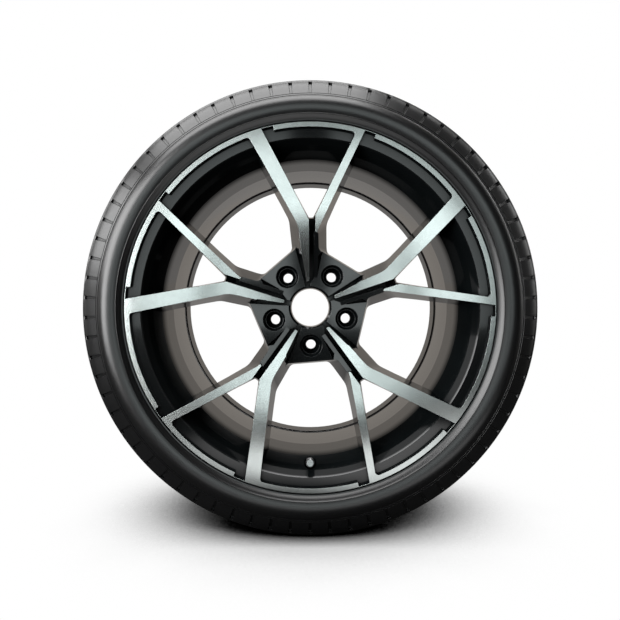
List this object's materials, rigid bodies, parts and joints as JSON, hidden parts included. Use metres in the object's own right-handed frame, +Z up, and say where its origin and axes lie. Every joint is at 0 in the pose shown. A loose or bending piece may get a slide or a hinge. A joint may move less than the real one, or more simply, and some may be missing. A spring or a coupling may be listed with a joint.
{
  "type": "car wheel and tyre",
  "caption": "Cast car wheel with forked spokes, turned bright face and black valleys, carrying a low-profile tyre and its valve; bolts to a hub over a centring bore.",
  "frame": {"origin": "centre of the assembly, on the spin axis at the middle of the rim's width", "axes": "+Y along the spin axis, inboard towards the car; -Y is the outer face; +Z up, with one spoke's stem pointing up and the valve at the bottom"},
  "size_m": [0.6538, 0.2422, 0.6536],
  "materials": {
    "cast_aluminium": "gloss black paint, with the front face and lip turned bright and clear-coated",
    "tyre_rubber": "moulded satin",
    "valve_rubber": "moulded matt",
    "valve_brass": "turned",
    "bright_cap": "plated"
  },
  "bodies": {
    "wheel": {"alloy_wheel": "cast_aluminium", "tyre": "tyre_rubber", "valve_stem": "valve_rubber", "valve_core": "valve_brass"},
    "cap": {"valve_cap": "bright_cap"},
    "pin": {"valve_pin": "valve_brass"}
  },
  "joints": [
    {"name": "cap_off", "type": "slide", "parent": "wheel", "child": "cap", "axis": [0, -0.9336, 0.3584], "range_m": [0, 0.014]},
    {"name": "pin_press", "type": "slide", "parent": "wheel", "child": "pin", "axis": [0, 0.9336, -0.3584], "range_m": [0, 0.0015], "stiffness_N_per_m": 400, "springref_m": -0.002}
  ]
}
